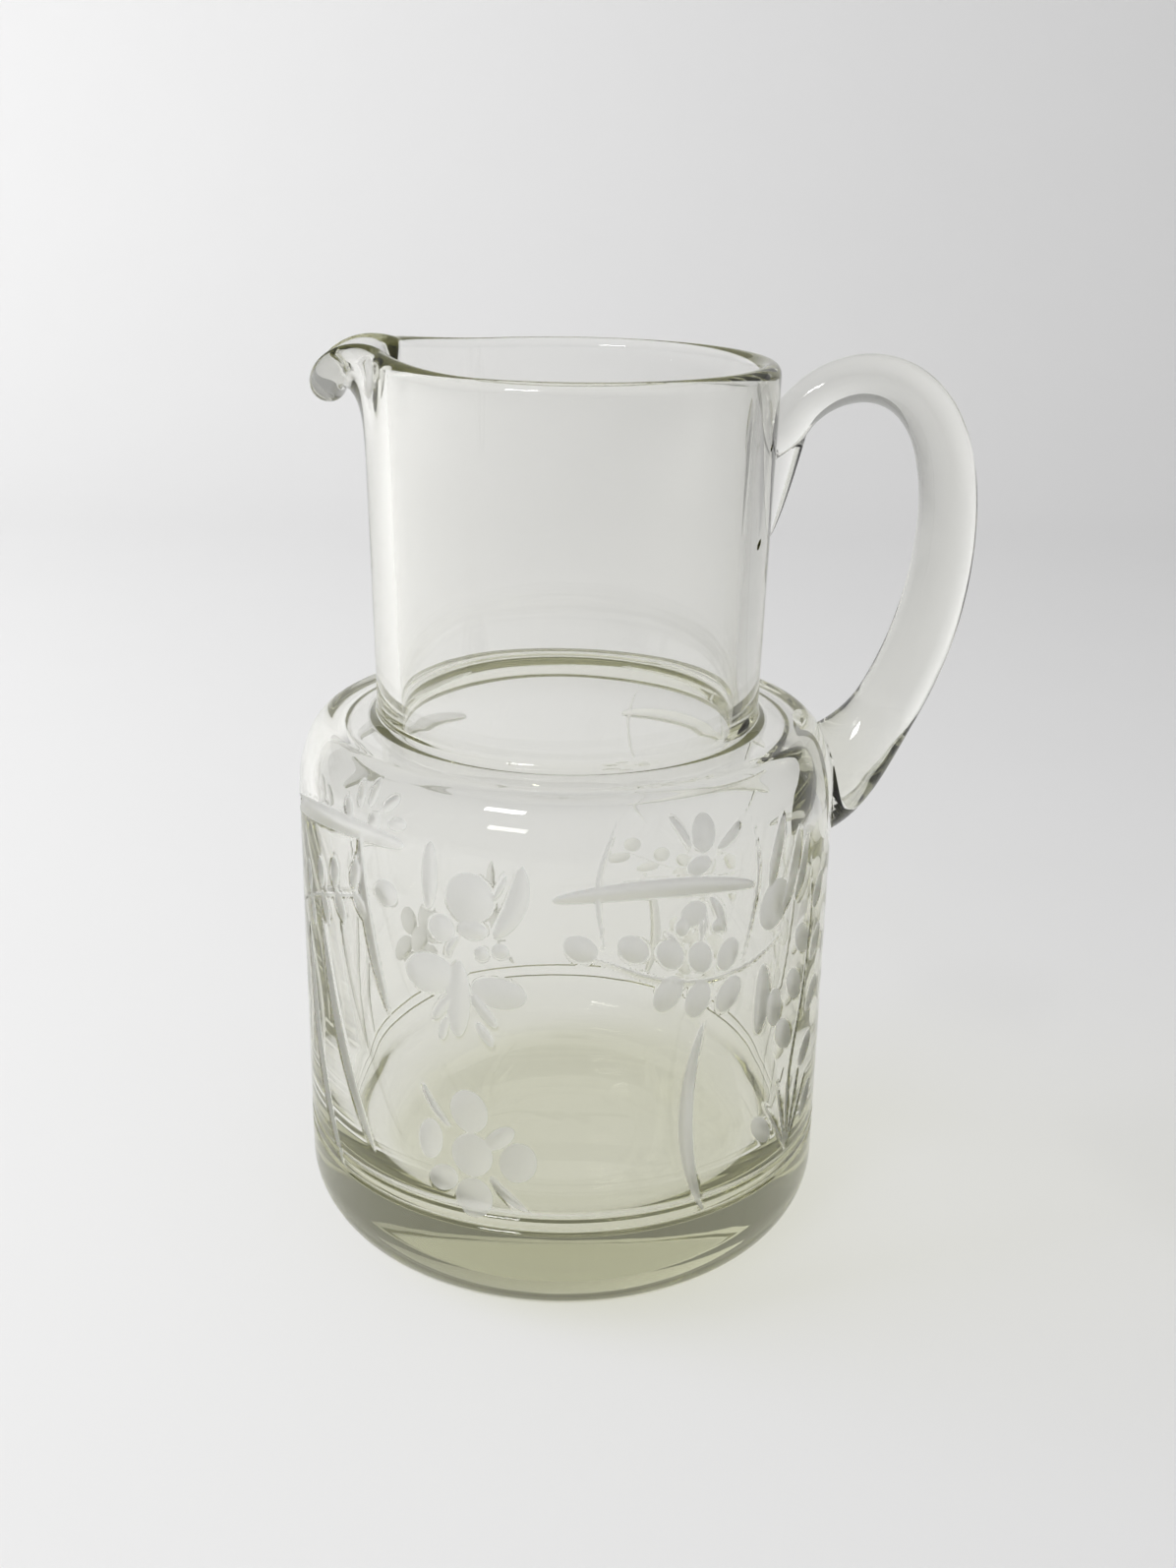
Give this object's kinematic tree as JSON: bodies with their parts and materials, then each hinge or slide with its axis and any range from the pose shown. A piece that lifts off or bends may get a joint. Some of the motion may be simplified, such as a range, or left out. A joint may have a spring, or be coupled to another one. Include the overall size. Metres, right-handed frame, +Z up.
{
  "type": "cocktail pitcher",
  "caption": "Heavy-based hand-made glass pitcher with a straight neck, a pulled pouring lip, an applied rod handle and a cut ring round the base.",
  "frame": {"origin": "centre of the flat resting face under the base", "axes": "+Z up along the axis of the body, +X towards the handle and -X towards the pouring lip, +Y across"},
  "size_m": [0.1416, 0.115, 0.1941],
  "materials": {
    "clear_glass": "fire-polished clear glass with a faint olive tint",
    "handle_glass": "fire-polished clear glass"
  },
  "bodies": {
    "root": {"body": "clear_glass", "handle": "handle_glass"}
  },
  "joints": []
}
